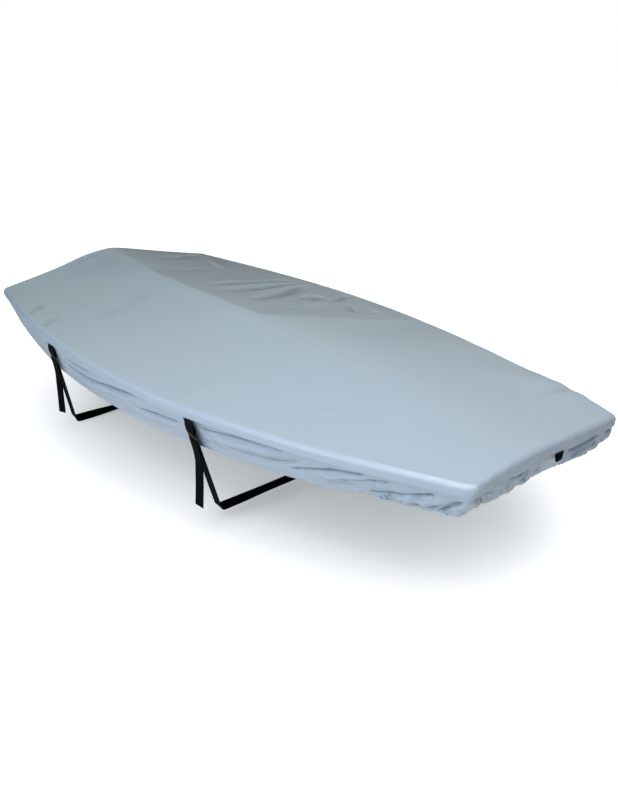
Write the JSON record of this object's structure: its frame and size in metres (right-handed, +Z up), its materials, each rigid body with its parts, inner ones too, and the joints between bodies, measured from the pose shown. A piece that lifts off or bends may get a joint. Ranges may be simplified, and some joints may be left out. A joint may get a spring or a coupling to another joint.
{
  "type": "boat cover",
  "caption": "Fitted tented top cover for a small pram-bowed sailing dinghy, with a gathered skirt and webbing straps that buckle round the hull.",
  "frame": {"origin": "underside of the top panel on the centreline at the middle of the boat's length", "axes": "+X to the boat's bow, +Y to port, +Z up"},
  "size_m": [2.368, 1.1886, 0.5421],
  "materials": {
    "coated_cloth": "grey coated polyester with a soft sheen",
    "webbing": "black woven webbing",
    "buckle_plastic": "black moulded plastic"
  },
  "bodies": {
    "root": {"top_panel": "coated_cloth", "skirt_starboard": "coated_cloth", "skirt_port": "coated_cloth", "skirt_bow": "coated_cloth", "skirt_stern": "coated_cloth", "tab_mid": "webbing", "tab_aft": "webbing", "strap_mid": "webbing", "strap_aft": "webbing", "bow_tab": "webbing", "buckle_mid": "buckle_plastic", "buckle_aft": "buckle_plastic"}
  },
  "joints": []
}
